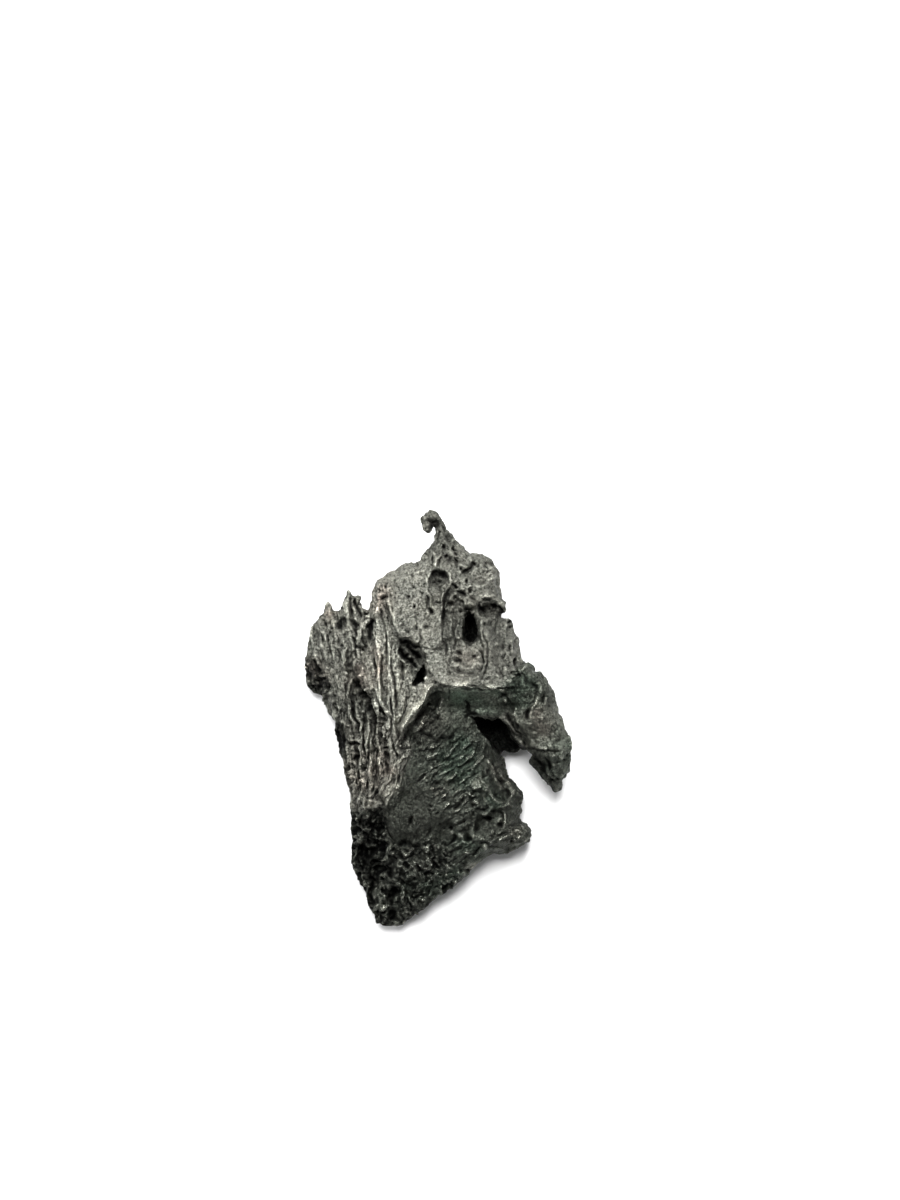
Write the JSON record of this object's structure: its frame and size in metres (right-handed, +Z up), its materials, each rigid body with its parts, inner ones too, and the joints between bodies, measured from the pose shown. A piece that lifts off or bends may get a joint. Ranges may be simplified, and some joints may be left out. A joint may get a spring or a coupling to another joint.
{
  "type": "iron meteorite",
  "caption": "Torn, fibrous shard of nickel-iron meteorite with a raised plate, an arch over a dark pocket, a hooked arm and a curled tip, lying on its back.",
  "frame": {"origin": "middle of the shard's box, on the surface that it rests on", "axes": "+Y from the foot to the curled tip, +X to the side with the hooked arm, +Z up out of the fibrous face"},
  "size_m": [0.0386, 0.06, 0.0158],
  "materials": {
    "iron": "bare nickel-iron, warm grey and softly glossy on the torn fibrous side, under a greenish black crust that is pitted and glossier in the hollow and at the foot"
  },
  "bodies": {
    "root": {"meteorite": "iron"}
  },
  "joints": []
}
